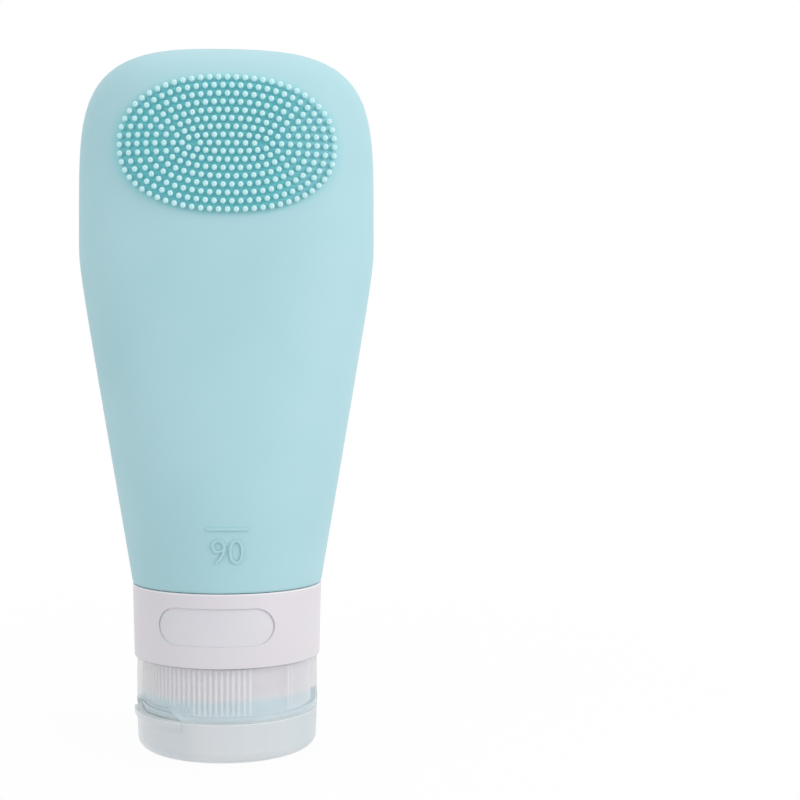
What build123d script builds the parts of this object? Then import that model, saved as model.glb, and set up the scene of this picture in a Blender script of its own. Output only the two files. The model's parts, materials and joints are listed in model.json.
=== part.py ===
from build123d import *

import os
from dataclasses import dataclass
from math import asin, ceil, copysign, cos, degrees, dist, hypot, pi, radians, sin, sqrt

# Travel squeeze bottle that stands on its flip cap, in millimetres. +Z is up, the origin is the
# middle of the lid's flat face, and the large face brush looks towards -Y. Azimuths are degrees
# counter-clockwise from +X, seen from above.

# Silicone body
body_length = 99.1
body_width = 55.0
body_depth = 30.0
body_wall = 2.0
shoulder_radius = 17.6
edge_roll = 10.5
widest_share = 0.628
taper_bend_share = 0.07
crown_rise_power = 5.1
crown_side_power = 3.0
round_power = 2.0
squared_power = 2.4
straight_station_shares = (0.0, 0.06, 0.16, 0.3, 0.45, 0.58, 0.7, 0.8, 0.9, 1.0)
roll_station_degrees = (20, 38, 54, 67, 77, 83)
section_points = 24

# Silicone neck and sealing lip
neck_wall = 1.8
upper_neck_wall = 2.0
lip_thickness = 3.0
lip_round = 0.6
shoulder_flare = 3.2
flare_ledge = 0.3

# Brushes on the front and the back of the crown
brush_seat_depth = 0.9
brush_sink = 0.1
brush_margin = 1.0
brush_facets = 12
strand_root = 0.35
strand_tip_share = 0.7
face_brush_width = 37.2
face_brush_height = 23.1
face_brush_centre = 78.3
face_brush_power = 2.3
face_ring_count = 7
face_strand_width = 0.8
face_strand_length = 1.6
scrub_brush_width = 31.8
scrub_brush_height = 13.6
scrub_brush_centre = 82.2
scrub_brush_power = 2.0
scrub_ring_count = 4
scrub_strand_width = 1.0
scrub_strand_length = 1.0
trace_steps = 360

# White neck ring, screwed into by the cap and turned on by the sleeve
neck_ring_bore = 12.6
neck_ring_wall = 1.1
thread_reach = 0.7
ring_floor_thickness = 1.4
ring_seat_radius = 15.0
label_radius = 16.7
groove_depth = 0.8
groove_lift = 1.9
groove_height = 1.4

# Rotating window sleeve
sleeve_height = 13.1
sleeve_top_radius = 17.6
sleeve_base_radius = 17.3
sleeve_recess = 0.2
window_width = 20.6
pane_recess = 0.05
window_height = 6.6
window_lift = 7.2
window_azimuth = 262.2

# Translucent cap
cap_radius = 16.8
cap_wall = 1.0
cap_height = 9.6
deck_thickness = 1.0
thread_skirt_wall = 0.7
thread_skirt_drop = 0.35
spout_radius = 5.6
spout_wall = 1.0
spout_length = 2.75
spout_lip = 0.8
orifice_radius = 3.2
notch_azimuth = 210.0
notch_base_width = 17.4
notch_top_width = 12.0
notch_height = 2.3
notch_depth = 1.1

# Flip lid
lid_height = 7.2
lid_floor = 1.2
lid_foot_draw = 0.25
lid_foot_round = 2.0
thumb_lip_reach = 0.45
thumb_lip_height = 0.9
thumb_lip_slope = 1.3
thumb_lip_arc = 62.0
seal_ring_wall = 0.9
seal_ring_overlap = 0.4
stopper_radius = 2.4
stopper_overlap = 0.5

# Snap hinge moulded between the cap and the lid
hinge_azimuth = 30.0
hinge_half_angle = 30.0
hinge_swell = 0.85
swell_lift = 0.8
strap_half_height = 2.9
strap_waist = 0.6
strap_hollow = 1.3
strap_thickness = 0.5

# No-drip valve and the ring that holds it
valve_flange = 1.0
membrane_thickness = 0.5
membrane_rise = 1.1
retainer_bore = 3.3
retainer_flange_width = 1.0
retainer_flange_thickness = 0.8

# Clearances, and one overrun for cuts
seam_gap = 0.15
collar_gap = 0.15
shoulder_gap = 0.1
seat_gap = 0.1
lip_gap = 0.05
turning_gap = 0.2
bead_gap = 0.3
thread_gap = 0.15
skirt_gap = 0.35
spout_gap = 0.3
overrun = 1.0

# Heights that follow from the sizes above
cap_base = lid_height + seam_gap
seam_height = lid_height + seam_gap / 2
deck_top = cap_base + deck_thickness
cap_top = cap_base + cap_height
lip_base = deck_top + lip_gap
lip_top = lip_base + lip_thickness
sleeve_base = cap_top + collar_gap
ring_floor_base = sleeve_base + sleeve_recess
ring_floor_top = ring_floor_base + ring_floor_thickness
body_base = sleeve_base + sleeve_height + shoulder_gap
spout_end = cap_base - spout_length
valve_seat = spout_end + spout_lip

# Radii that follow
neck_ring_radius = neck_ring_bore + neck_ring_wall
thread_skirt_bore = neck_ring_radius + thread_reach + thread_gap
lip_radius = thread_skirt_bore - skirt_gap
neck_radius = neck_ring_bore - seat_gap
neck_bore = neck_radius - neck_wall
upper_neck_radius = ring_seat_radius - seat_gap
upper_neck_bore = upper_neck_radius - upper_neck_wall
sleeve_bore = label_radius + turning_gap
spout_bore = spout_radius - spout_wall
valve_radius = spout_bore - seat_gap
dome_radius = retainer_bore - seat_gap

# Ball that swells the cap and the lid at the hinge
hinge_radius = cap_radius + hinge_swell
hinge_half_width = cap_radius * sin(radians(hinge_half_angle))
swell_sagitta = hinge_radius - cap_radius * cos(radians(hinge_half_angle))
swell_radius = (hinge_half_width ** 2 + swell_sagitta ** 2) / (2 * swell_sagitta)

os.makedirs("parts", exist_ok=True)


def eased(share):
    """Rise from 0 to 1 with no kink at either end."""
    held = min(max(share, 0), 1)
    return held * held * (3 - 2 * held)


def half_width(rise_share, inset):
    """Half the body's width at a share of its length, drawn in by a wall."""
    full = body_width / 2
    if rise_share > widest_share:
        climb = (rise_share - widest_share) / (1 - widest_share)
        fullness = max(1 - climb ** crown_rise_power, 0) ** (1 / crown_side_power)
        return (full - inset) * fullness
    drop = (widest_share - rise_share) / widest_share
    bend = hypot(drop, taper_bend_share) - taper_bend_share
    whole_bend = hypot(1, taper_bend_share) - taper_bend_share
    return full - (full - shoulder_radius) * bend / whole_bend - inset


def roll_start(inset):
    """Share of the body's length at which its faces start to roll over the crown."""
    return 1 - edge_roll / (body_length - inset)


def half_depth(rise_share, inset):
    """Half the body's depth at a share of its length, drawn in by a wall."""
    settled = eased(rise_share / widest_share)
    depth = shoulder_radius + (body_depth / 2 - shoulder_radius) * settled - inset
    over = max(rise_share - roll_start(inset), 0) / (1 - roll_start(inset))
    return depth * sqrt(max(1 - over * over, 0))


def section_power(rise_share):
    """Round at the shoulder, slightly squared where the body is wide."""
    return round_power + (squared_power - round_power) * eased(rise_share / widest_share)


def oval_point(half_x, half_y, power, turn):
    """Point of a squared oval at an angle in radians."""
    x = half_x * copysign(abs(cos(turn)) ** (2 / power), cos(turn))
    y = half_y * copysign(abs(sin(turn)) ** (2 / power), sin(turn))
    return (x, y)


def oval_trace(half_x, half_y, power, steps):
    """Points all round a squared oval."""
    return [oval_point(half_x, half_y, power, 2 * pi * step / steps) for step in range(steps)]


def squeeze_form(inset, first_share):
    """Closed form of the body from a share of its length up, drawn in by a wall."""
    start = roll_start(inset)
    shares = [first_share + (start - first_share) * share for share in straight_station_shares]
    shares += [start + (1 - start) * sin(radians(angle)) for angle in roll_station_degrees]
    with BuildPart() as form:
        for share in shares:
            with BuildSketch(Plane.XY.offset(body_base + share * (body_length - inset))):
                with BuildLine():
                    widths = (half_width(share, inset), half_depth(share, inset))
                    Spline(*oval_trace(*widths, section_power(share), section_points), periodic=True)
                make_face()
        loft()
    return form.part


def ring_places(half_x, half_y, power, pitch):
    """Evenly spaced points round a squared oval, as many as the pitch allows."""
    trace = oval_trace(half_x, half_y, power, trace_steps)
    trace.append(trace[0])
    runs = [0.0]
    for here, there in zip(trace, trace[1:]):
        runs.append(runs[-1] + dist(here, there))
    count = round(runs[-1] / pitch)
    places = []
    step = 0
    for index in range(count):
        target = runs[-1] * index / count
        while runs[step + 1] <= target:
            step += 1
        along = (target - runs[step]) / (runs[step + 1] - runs[step])
        (x0, y0), (x1, y1) = trace[step], trace[step + 1]
        places.append((x0 + (x1 - x0) * along, y0 + (y1 - y0) * along))
    return places


def skin_depth(share, x):
    """Distance from the axis plane to the body's skin, off to one side by x."""
    power = section_power(share)
    fullness = 1 - min(abs(x) / half_width(share, 0), 1) ** power
    return half_depth(share, 0) * fullness ** (1 / power)


@dataclass(frozen=True)
class Brush:
    """Field of short strands; facing is -1 on the front of the body and 1 on its back."""

    facing: int
    width: float
    height: float
    centre: float
    power: float
    ring_count: int
    strand_width: float
    strand_length: float

    def block(self, reach):
        """Slice of the wall under the strands, from its faceted seat out by reach."""
        middle = body_base + self.centre
        span = self.width / 2 + brush_margin
        rise = self.height / 2 + brush_margin
        stations = [span * (2 * index / brush_facets - 1) for index in range(brush_facets + 1)]
        skin = [skin_depth(self.centre / body_length, x) - brush_sink for x in stations]
        front = [(x, self.facing * (y + reach)) for x, y in zip(stations, skin)]
        seat = [(x, self.facing * (y - brush_seat_depth)) for x, y in zip(stations, skin)]
        with BuildPart() as slab:
            with BuildSketch(Plane.XY.offset(middle)):
                with BuildLine():
                    Polyline(*front, *reversed(seat), close=True)
                make_face()
            extrude(amount=rise, both=True)
            with BuildSketch(Plane.XZ):
                with BuildLine():
                    outline = oval_trace(span, rise, self.power, section_points)
                    Spline(*[(x, middle + z) for x, z in outline], periodic=True)
                make_face()
            extrude(amount=body_width, both=True, mode=Mode.INTERSECT)
        return slab.part

    def places(self):
        """Strand centres in rings that shrink by one pitch each, and a line in the middle."""
        pitch = self.height / (2 * self.ring_count)
        centres = []
        for ring in range(self.ring_count):
            drawn = ring * pitch
            centres += ring_places(self.width / 2 - drawn, self.height / 2 - drawn, self.power, pitch)
        line = self.width - self.height
        gaps = ceil(line / pitch)
        centres += [(line * (gap / gaps - 1 / 2), 0) for gap in range(gaps + 1)]
        return centres

    def roots(self):
        """Where each strand starts, a little way into the slice."""
        share = self.centre / body_length
        sunk = brush_sink + strand_root
        middle = body_base + self.centre
        return [(x, self.facing * (skin_depth(share, x) - sunk), middle + z) for x, z in self.places()]

    def pad(self):
        """The slice with its strands, fused in one go."""
        length = strand_root + self.strand_length
        taper = degrees((1 - strand_tip_share) * self.strand_width / (2 * length))
        with BuildPart() as strand:
            with BuildSketch(Plane(origin=(0, 0, 0), x_dir=(1, 0, 0), z_dir=(0, self.facing, 0))):
                Rectangle(self.strand_width, self.strand_width)
            extrude(amount=length, taper=taper)
        with BuildPart() as pad:
            add(self.block(0))
            with Locations(*self.roots()):
                add(strand.part, clean=False)
        return pad.part


def turned(*corners, mode=Mode.ADD):
    """Turn an outline of (radius, height) corners about the bottle's axis."""
    with BuildSketch(Plane.XZ) as profile:
        with BuildLine():
            Polyline(*corners, close=True)
        make_face()
    revolve(profile.sketch, axis=Axis.Z, mode=mode)


def facing_plane(azimuth):
    """Upright plane through the axis that faces outwards at an azimuth."""
    turn = radians(azimuth)
    return Plane(origin=(0, 0, 0), x_dir=(-sin(turn), cos(turn), 0), z_dir=(cos(turn), sin(turn), 0))


def cutting_plane(azimuth):
    """Upright plane that holds the axis and points outwards at an azimuth."""
    turn = radians(azimuth)
    return Plane(origin=(0, 0, 0), x_dir=(cos(turn), sin(turn), 0), z_dir=(sin(turn), -cos(turn), 0))


def swell_ball(inset, low, high):
    """Part of the hinge's ball between two heights, drawn in by a wall."""
    centre = facing_plane(hinge_azimuth).z_dir * (hinge_radius - swell_radius)
    with BuildPart() as ball:
        with Locations((centre.X, centre.Y, cap_base + swell_lift)):
            Sphere(swell_radius - inset)
        split(bisect_by=Plane.XY.offset(low), keep=Keep.TOP)
        split(bisect_by=Plane.XY.offset(high), keep=Keep.BOTTOM)
    return ball.part


def dome_middle(low, high):
    """Middle of the arc, centred on the axis, from a dome's top to its rim."""
    rise = high - low
    ball = (dome_radius ** 2 + rise ** 2) / (2 * rise)
    half_angle = asin(dome_radius / ball) / 2
    return (ball * sin(half_angle), high - ball * (1 - cos(half_angle)))


def bow_tie():
    """Corners of the hinge's bow tie about the seam, from its upper left one round to the lower left."""
    high = seam_height + strap_half_height
    low = seam_height - strap_half_height
    waist_high = seam_height + strap_waist / 2
    waist_low = seam_height - strap_waist / 2
    upper = [(-hinge_half_width, high), (0, waist_high), (hinge_half_width, high)]
    lower = [(hinge_half_width, low), (0, waist_low), (-hinge_half_width, low)]
    return upper, lower


def hinge_opening():
    """Solid that cuts the bow tie out of the wall."""
    upper, lower = bow_tie()
    with BuildPart() as opening:
        with BuildSketch(facing_plane(hinge_azimuth)):
            with BuildLine():
                Polyline(*upper, *lower, close=True)
            make_face()
        extrude(amount=hinge_radius + overrun)
    return opening.part


# The brushes are slices of the body's own wall, parted from it so that each is one piece
face_brush = Brush(
    facing=-1,
    width=face_brush_width,
    height=face_brush_height,
    centre=face_brush_centre,
    power=face_brush_power,
    ring_count=face_ring_count,
    strand_width=face_strand_width,
    strand_length=face_strand_length,
)
scrub_brush = Brush(
    facing=1,
    width=scrub_brush_width,
    height=scrub_brush_height,
    centre=scrub_brush_centre,
    power=scrub_brush_power,
    ring_count=scrub_ring_count,
    strand_width=scrub_strand_width,
    strand_length=scrub_strand_length,
)
for brush, name in ((face_brush, "face_brush_pad"), (scrub_brush, "scrub_brush_pad")):
    pad = brush.pad()
    pad.label = name
    export_step(pad, f"parts/{name}.step")

# Room inside the body: the squeezed cavity, flared in to the bore of the neck
flare_top = body_base + shoulder_flare
flare_share = shoulder_flare / (body_length - body_wall)
bore_step = ring_floor_top + seat_gap
with BuildPart() as cavity:
    add(squeeze_form(body_wall, flare_share))
    turned(
        (0, lip_base - overrun),
        (neck_bore, lip_base - overrun),
        (neck_bore, bore_step),
        (upper_neck_bore, bore_step + upper_neck_wall),
        (upper_neck_bore, body_base),
        (half_depth(flare_share, body_wall) - flare_ledge, flare_top),
        (0, flare_top),
    )

# Silicone body: the squeezed form, its neck down through the ring and the lip that seals the mouth
with BuildPart() as silicone_body:
    add(squeeze_form(0, 0))
    turned(
        (0, lip_base),
        (lip_radius, lip_base),
        (lip_radius, lip_top),
        (neck_radius, lip_top),
        (neck_radius, bore_step),
        (upper_neck_radius, bore_step),
        (upper_neck_radius, body_base),
        (0, body_base),
    )
    lip_edge = silicone_body.edges().filter_by(GeomType.CIRCLE).group_by(Axis.Z)[0]
    fillet(lip_edge, radius=lip_round)
    add(cavity.part, mode=Mode.SUBTRACT)
    for brush in (face_brush, scrub_brush):
        add(brush.block(body_wall), mode=Mode.SUBTRACT)
silicone_body.part.label = "silicone_body"
export_step(silicone_body.part, "parts/silicone_body.step")

# Neck ring: a drum that carries the sleeve, on a neck that carries the cap
groove_base = ring_floor_base + groove_lift
with BuildPart() as neck_ring:
    turned(
        (neck_ring_bore, lip_top),
        (neck_ring_radius, lip_top),
        (neck_ring_radius, ring_floor_base),
        (label_radius, ring_floor_base),
        (label_radius, groove_base),
        (label_radius - groove_depth, groove_base),
        (label_radius - groove_depth, groove_base + groove_height),
        (label_radius, groove_base + groove_height),
        (label_radius, body_base),
        (ring_seat_radius, body_base),
        (ring_seat_radius, ring_floor_top),
        (neck_ring_bore, ring_floor_top),
    )
neck_ring.part.label = "neck_ring"
export_step(neck_ring.part, "parts/neck_ring.step")

# Window sleeve: a bead inside snaps into the ring's groove, and a window looks at the ring
sleeve_top = sleeve_base + sleeve_height
bead_radius = label_radius - groove_depth + bead_gap
with BuildPart() as window_block:
    with BuildSketch(facing_plane(window_azimuth)):
        with Locations((0, sleeve_base + window_lift)):
            SlotOverall(window_width, window_height)
    extrude(amount=sleeve_top_radius + overrun)
with BuildPart() as window_sleeve:
    turned(
        (sleeve_bore, sleeve_base),
        (sleeve_base_radius, sleeve_base),
        (sleeve_top_radius, sleeve_top),
        (sleeve_bore, sleeve_top),
        (sleeve_bore, groove_base + groove_height - bead_gap),
        (bead_radius, groove_base + groove_height - bead_gap),
        (bead_radius, groove_base + bead_gap),
        (sleeve_bore, groove_base + bead_gap),
    )
    add(window_block.part, mode=Mode.SUBTRACT)
window_sleeve.part.label = "window_sleeve"
export_step(window_sleeve.part, "parts/window_sleeve.step")

# Window pane: a thin clear sheet that fills the window, a little below the sleeve's face
pane_radius = sleeve_base_radius - pane_recess
with BuildPart() as window_pane:
    turned(
        (sleeve_bore, sleeve_base),
        (pane_radius, sleeve_base),
        (pane_radius, sleeve_top),
        (sleeve_bore, sleeve_top),
    )
    add(window_block.part, mode=Mode.INTERSECT)
window_pane.part.label = "window_pane"
export_step(window_pane.part, "parts/window_pane.step")

# Cap: outer skirt and deck in one shell, then the thread skirt, the spout and the cut-outs
skirt_bore = cap_radius - cap_wall
with BuildPart() as thumb_notch:
    with BuildSketch(facing_plane(notch_azimuth)):
        with BuildLine():
            Polyline(
                (-notch_base_width / 2, cap_base - overrun),
                (notch_base_width / 2, cap_base - overrun),
                (notch_base_width / 2, cap_base),
                (notch_top_width / 2, cap_base + notch_height),
                (-notch_top_width / 2, cap_base + notch_height),
                (-notch_base_width / 2, cap_base),
                close=True,
            )
        make_face()
    extrude(amount=cap_radius + overrun)
    inner = cap_radius - notch_depth
    turned((0, 0), (inner, 0), (inner, cap_top), (0, cap_top), mode=Mode.SUBTRACT)
with BuildPart() as cap_body:
    turned((0, cap_base), (cap_radius, cap_base), (cap_radius, cap_top), (0, cap_top))
    add(swell_ball(0, cap_base, cap_top))
    turned((0, deck_top), (skirt_bore, deck_top), (skirt_bore, cap_top), (0, cap_top), mode=Mode.SUBTRACT)
    add(swell_ball(cap_wall, deck_top, cap_top), mode=Mode.SUBTRACT)
    turned(
        (thread_skirt_bore, deck_top),
        (thread_skirt_bore + thread_skirt_wall, deck_top),
        (thread_skirt_bore + thread_skirt_wall, cap_top - thread_skirt_drop),
        (thread_skirt_bore, cap_top - thread_skirt_drop),
    )
    turned((0, spout_end), (spout_radius, spout_end), (spout_radius, deck_top), (0, deck_top))
    turned(
        (0, spout_end - overrun),
        (orifice_radius, spout_end - overrun),
        (orifice_radius, valve_seat),
        (spout_bore, valve_seat),
        (spout_bore, deck_top + overrun),
        (0, deck_top + overrun),
        mode=Mode.SUBTRACT,
    )
    add(hinge_opening(), mode=Mode.SUBTRACT)
    add(thumb_notch.part, mode=Mode.SUBTRACT)
cap_body.part.label = "cap_body"
export_step(cap_body.part, "parts/cap_body.step")

# Lid: a cup with a rounded foot, a thumb lip, a ring round the spout and a stopper into it
with BuildPart() as flip_lid:
    turned((0, 0), (cap_radius - lid_foot_draw, 0), (cap_radius, lid_height), (0, lid_height))
    add(swell_ball(0, 0, lid_height))
    foot_edge = flip_lid.edges().filter_by(GeomType.CIRCLE).group_by(Axis.Z)[0]
    fillet(foot_edge, radius=lid_foot_round)
    turned((0, lid_floor), (skirt_bore, lid_floor), (skirt_bore, lid_height), (0, lid_height), mode=Mode.SUBTRACT)
    add(swell_ball(cap_wall, lid_floor, lid_height), mode=Mode.SUBTRACT)
    with BuildSketch(cutting_plane(notch_azimuth - thumb_lip_arc / 2)):
        with BuildLine():
            Polyline(
                (skirt_bore, lid_height),
                (cap_radius + thumb_lip_reach, lid_height),
                (cap_radius + thumb_lip_reach, lid_height - thumb_lip_height),
                (cap_radius - lid_foot_draw, lid_height - thumb_lip_height - thumb_lip_slope),
                (skirt_bore, lid_height - thumb_lip_height - thumb_lip_slope),
                close=True,
            )
        make_face()
    revolve(axis=Axis.Z, revolution_arc=thumb_lip_arc)
    ring_bore = spout_radius + spout_gap
    turned(
        (ring_bore, lid_floor),
        (ring_bore + seal_ring_wall, lid_floor),
        (ring_bore + seal_ring_wall, spout_end + seal_ring_overlap),
        (ring_bore, spout_end + seal_ring_overlap),
    )
    stopper_top = spout_end + stopper_overlap
    turned((0, lid_floor), (stopper_radius, lid_floor), (stopper_radius, stopper_top), (0, stopper_top))
    add(hinge_opening(), mode=Mode.SUBTRACT)
flip_lid.part.label = "flip_lid"
export_step(flip_lid.part, "parts/flip_lid.step")

# Hinge straps: a thin bow tie in the swollen wall, whose slanted edges fold and ends stay free
strap_low = seam_height - strap_half_height - overrun
strap_high = seam_height + strap_half_height + overrun
strap_core = cap_radius - strap_thickness
with BuildPart() as swollen_skin:
    turned((0, strap_low), (cap_radius, strap_low), (cap_radius, strap_high), (0, strap_high))
    add(swell_ball(0, strap_low, strap_high))
    turned((0, strap_low), (strap_core, strap_low), (strap_core, strap_high), (0, strap_high), mode=Mode.SUBTRACT)
    add(swell_ball(strap_thickness, strap_low, strap_high), mode=Mode.SUBTRACT)
upper, lower = bow_tie()
with BuildPart() as hinge_straps:
    with BuildSketch(facing_plane(hinge_azimuth)):
        with BuildLine():
            Polyline(*upper)
            ThreePointArc(upper[-1], (hinge_half_width - strap_hollow, seam_height), lower[0])
            Polyline(*lower)
            ThreePointArc(lower[-1], (strap_hollow - hinge_half_width, seam_height), upper[0])
        make_face()
    extrude(amount=hinge_radius + overrun)
    add(swollen_skin.part, mode=Mode.INTERSECT)
hinge_straps.part.label = "hinge_straps"
export_step(hinge_straps.part, "parts/hinge_straps.step")

# Valve: a flange on the spout's lip, with a thin membrane domed up into the bottle
flange_top = valve_seat + valve_flange
dome_low = flange_top - membrane_thickness + membrane_rise
dome_high = dome_low + membrane_thickness
with BuildPart() as no_drip_valve:
    with BuildSketch(Plane.XZ):
        with BuildLine():
            Line((0, dome_low), (0, dome_high))
            ThreePointArc((0, dome_high), dome_middle(flange_top, dome_high), (dome_radius, flange_top))
            Polyline((dome_radius, flange_top), (valve_radius, flange_top), (valve_radius, valve_seat))
            Line((valve_radius, valve_seat), (dome_radius, valve_seat))
            ThreePointArc((dome_radius, valve_seat), dome_middle(valve_seat, dome_low), (0, dome_low))
        make_face()
    revolve(axis=Axis.Z)
no_drip_valve.part.label = "no_drip_valve"
export_step(no_drip_valve.part, "parts/no_drip_valve.step")

# Retainer: a flanged ring pressed in from inside, down onto the valve's flange
retainer_radius = spout_radius + retainer_flange_width
with BuildPart() as valve_retainer:
    turned(
        (retainer_bore, flange_top),
        (valve_radius, flange_top),
        (valve_radius, deck_top),
        (retainer_radius, deck_top),
        (retainer_radius, deck_top + retainer_flange_thickness),
        (retainer_bore, deck_top + retainer_flange_thickness),
    )
valve_retainer.part.label = "valve_retainer"
export_step(valve_retainer.part, "parts/valve_retainer.step")
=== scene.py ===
"""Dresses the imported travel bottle: its skin, both bristle fields, the collar, the cap and the lid.

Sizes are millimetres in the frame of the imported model, and become metres as each mesh is made.
The front of the bottle looks along -Y, and azimuths are degrees from +X, seen from above.
"""

import json
import logging
from collections.abc import Callable, Sequence
from dataclasses import dataclass
from enum import Enum
from math import acos, atan2, copysign, cos, dist, hypot, pi, radians, sin, sqrt

import bpy
from mathutils import Matrix, Vector

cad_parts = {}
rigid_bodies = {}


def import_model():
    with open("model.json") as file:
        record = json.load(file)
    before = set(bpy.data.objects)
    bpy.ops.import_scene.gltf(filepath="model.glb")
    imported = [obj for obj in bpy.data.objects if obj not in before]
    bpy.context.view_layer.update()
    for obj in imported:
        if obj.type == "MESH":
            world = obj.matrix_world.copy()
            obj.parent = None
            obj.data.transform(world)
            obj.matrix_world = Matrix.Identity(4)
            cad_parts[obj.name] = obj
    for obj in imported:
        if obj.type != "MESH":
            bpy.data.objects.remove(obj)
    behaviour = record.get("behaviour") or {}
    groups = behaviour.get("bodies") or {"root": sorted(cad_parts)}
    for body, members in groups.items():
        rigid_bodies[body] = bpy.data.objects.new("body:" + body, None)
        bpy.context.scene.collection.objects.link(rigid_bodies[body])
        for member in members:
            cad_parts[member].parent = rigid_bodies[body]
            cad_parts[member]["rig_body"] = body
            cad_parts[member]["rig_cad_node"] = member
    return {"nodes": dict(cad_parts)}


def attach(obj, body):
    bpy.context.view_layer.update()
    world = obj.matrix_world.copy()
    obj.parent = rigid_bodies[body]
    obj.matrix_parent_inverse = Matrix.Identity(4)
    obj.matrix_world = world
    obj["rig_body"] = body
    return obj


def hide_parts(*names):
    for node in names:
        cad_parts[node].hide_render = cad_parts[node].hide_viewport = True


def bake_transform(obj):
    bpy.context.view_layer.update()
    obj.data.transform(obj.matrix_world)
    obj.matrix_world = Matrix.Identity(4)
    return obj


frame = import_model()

LOG = logging.getLogger("travel_bottle")
MM = 0.001

Colour = tuple[int, int, int]
Corner = tuple[float, float]
Place = tuple[float, float, float]


class Body(Enum):
    """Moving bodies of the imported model."""

    BOTTLE = "bottle"
    SLEEVE = "sleeve"
    VALVE = "valve"
    CAP = "cap"
    LID = "lid"


class Slot(Enum):
    """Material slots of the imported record."""

    BODY = "body_silicone"
    BRUSH = "brush_silicone"
    WHITE = "white_plastic"
    FROSTED = "frosted_plastic"
    VALVE = "valve_silicone"


class Side(Enum):
    """Faces of the bottle that carry a brush."""

    FRONT = -1
    BACK = 1


class Effect(Enum):
    """Shader groups that more than one finish uses."""

    GRAIN = "moulded_grain"
    BAND = "height_band"
    OVAL = "brush_shade"


def eased(share: float) -> float:
    """Rise from 0 to 1 with no kink at either end."""
    held = min(max(share, 0.0), 1.0)
    return held * held * (3 - 2 * held)


def squared(turn: float, power: float) -> Corner:
    """Point of a squared circle of radius 1, at a turn in radians."""
    exponent = 2 / power
    return (copysign(abs(cos(turn)) ** exponent, cos(turn)), copysign(abs(sin(turn)) ** exponent, sin(turn)))


def linear(colour: Colour) -> tuple[float, float, float, float]:
    """Turn a colour as a screen shows it into the light that it stands for.

    Args:
        colour: Red, green and blue, each from 0 to 255.

    Returns:
        The colour in linear light, with full alpha.
    """
    shares = [part / 255 for part in colour]
    light = [part / 12.92 if part <= 0.04045 else ((part + 0.055) / 1.055) ** 2.4 for part in shares]
    return (light[0], light[1], light[2], 1.0)


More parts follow.
